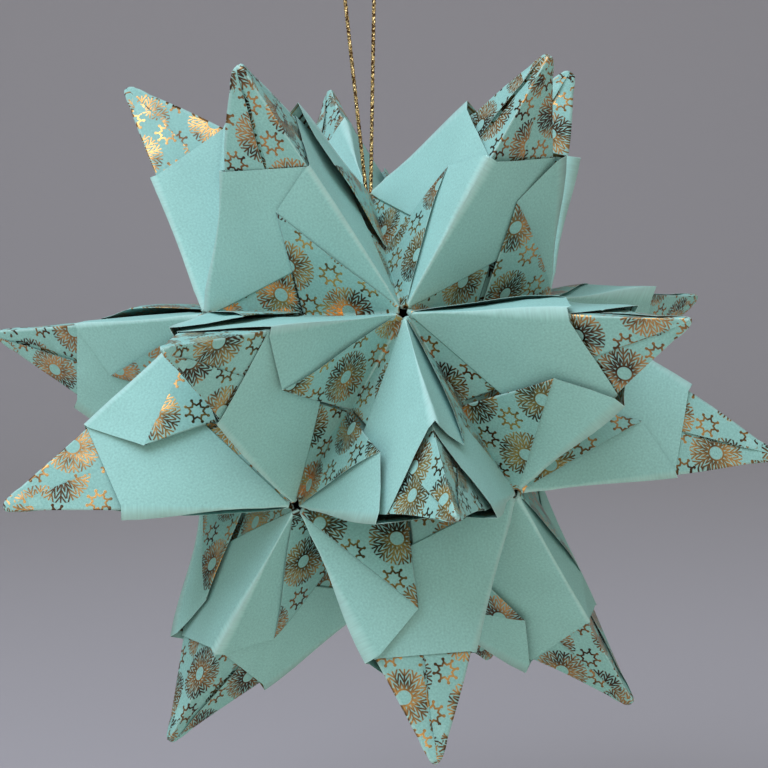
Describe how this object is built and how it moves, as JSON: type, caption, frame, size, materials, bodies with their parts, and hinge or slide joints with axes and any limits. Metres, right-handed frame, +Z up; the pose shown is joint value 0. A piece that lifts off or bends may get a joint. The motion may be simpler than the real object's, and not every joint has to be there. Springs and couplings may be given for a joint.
{
  "type": "kusudama paper ball",
  "caption": "Modular paper star of folded interlocking square sheets with three-sided spikes, hung from a gold cord loop.",
  "frame": {"origin": "where a hook carries the cord, under the top of the loop", "axes": "+Z up along the hanging axis, which is a five-fold axis of the star; X along the plane of the cord loop"},
  "size_m": [0.2304, 0.2304, 0.235],
  "materials": {
    "paper": "matte printed paper, plain on one side, with gold foil snowflakes on the other",
    "gold_cord": "twisted metallic gold cord"
  },
  "bodies": {
    "root": {"paper_unit_01": "paper", "paper_unit_02": "paper", "paper_unit_03": "paper", "paper_unit_04": "paper", "paper_unit_05": "paper", "paper_unit_06": "paper", "paper_unit_07": "paper", "paper_unit_08": "paper", "paper_unit_09": "paper", "paper_unit_10": "paper", "paper_unit_11": "paper", "paper_unit_12": "paper", "paper_unit_13": "paper", "paper_unit_14": "paper", "paper_unit_15": "paper", "paper_unit_16": "paper", "paper_unit_17": "paper", "paper_unit_18": "paper", "paper_unit_19": "paper", "paper_unit_20": "paper", "paper_unit_21": "paper", "paper_unit_22": "paper", "paper_unit_23": "paper", "paper_unit_24": "paper", "paper_unit_25": "paper", "paper_unit_26": "paper", "paper_unit_27": "paper", "paper_unit_28": "paper", "paper_unit_29": "paper", "paper_unit_30": "paper", "hanging_cord": "gold_cord", "cord_knot": "gold_cord"}
  },
  "joints": []
}
